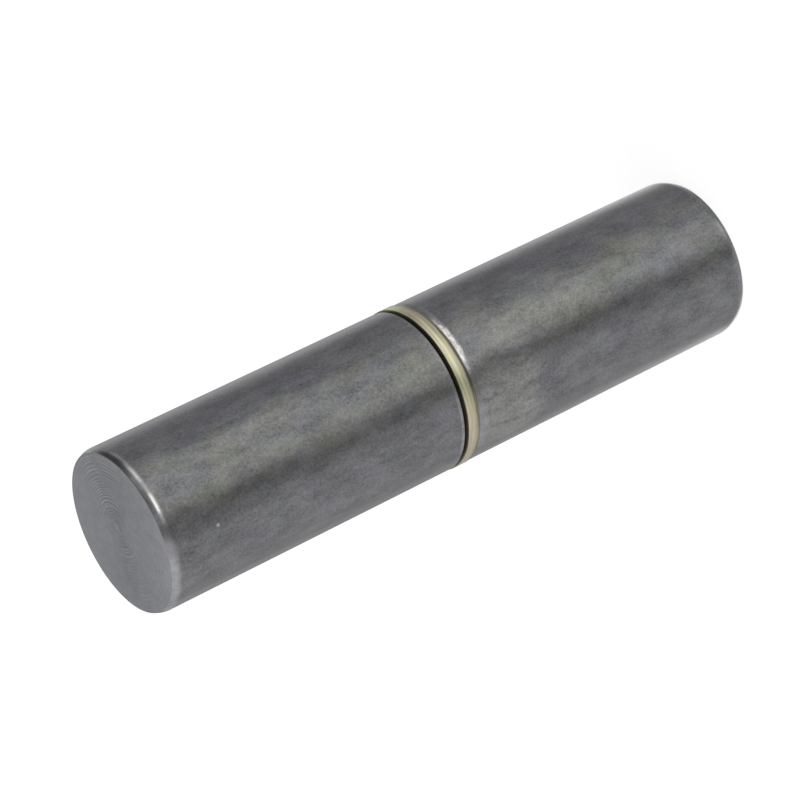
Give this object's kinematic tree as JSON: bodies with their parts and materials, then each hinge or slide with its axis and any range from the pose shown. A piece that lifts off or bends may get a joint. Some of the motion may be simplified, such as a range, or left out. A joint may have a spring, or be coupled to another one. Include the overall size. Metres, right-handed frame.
{
  "type": "weld-on barrel hinge",
  "caption": "Weld-on lift-off barrel hinge: turned steel barrels on a pressed-in steel pin, with a brass thrust washer between them.",
  "frame": {"origin": "centre of the lower barrel's outer end face, which the hinge stands on", "axes": "+Z along the pin, from the lower barrel to the upper barrel; X and Y are free, because the hinge is round"},
  "size_m": [0.0242, 0.0242, 0.1006],
  "materials": {
    "barrel_steel": "oiled dark mill finish with a faint olive mottle, turned ends",
    "pin_steel": "ground bright",
    "washer_brass": "turned, dull yellow with olive and pink tints"
  },
  "bodies": {
    "lower_half": {"lower_barrel": "barrel_steel", "hinge_pin": "pin_steel"},
    "washer": {"thrust_washer": "washer_brass"},
    "upper_half": {"upper_barrel": "barrel_steel"}
  },
  "joints": [
    {"name": "swing", "type": "hinge", "parent": "lower_half", "child": "washer", "pos_m": [0, 0, 0.05], "axis": [0, 0, 1], "continuous": true},
    {"name": "lift_off", "type": "slide", "parent": "washer", "child": "upper_half", "axis": [0, 0, 1], "range_m": [-0.00055, 0.033]}
  ]
}
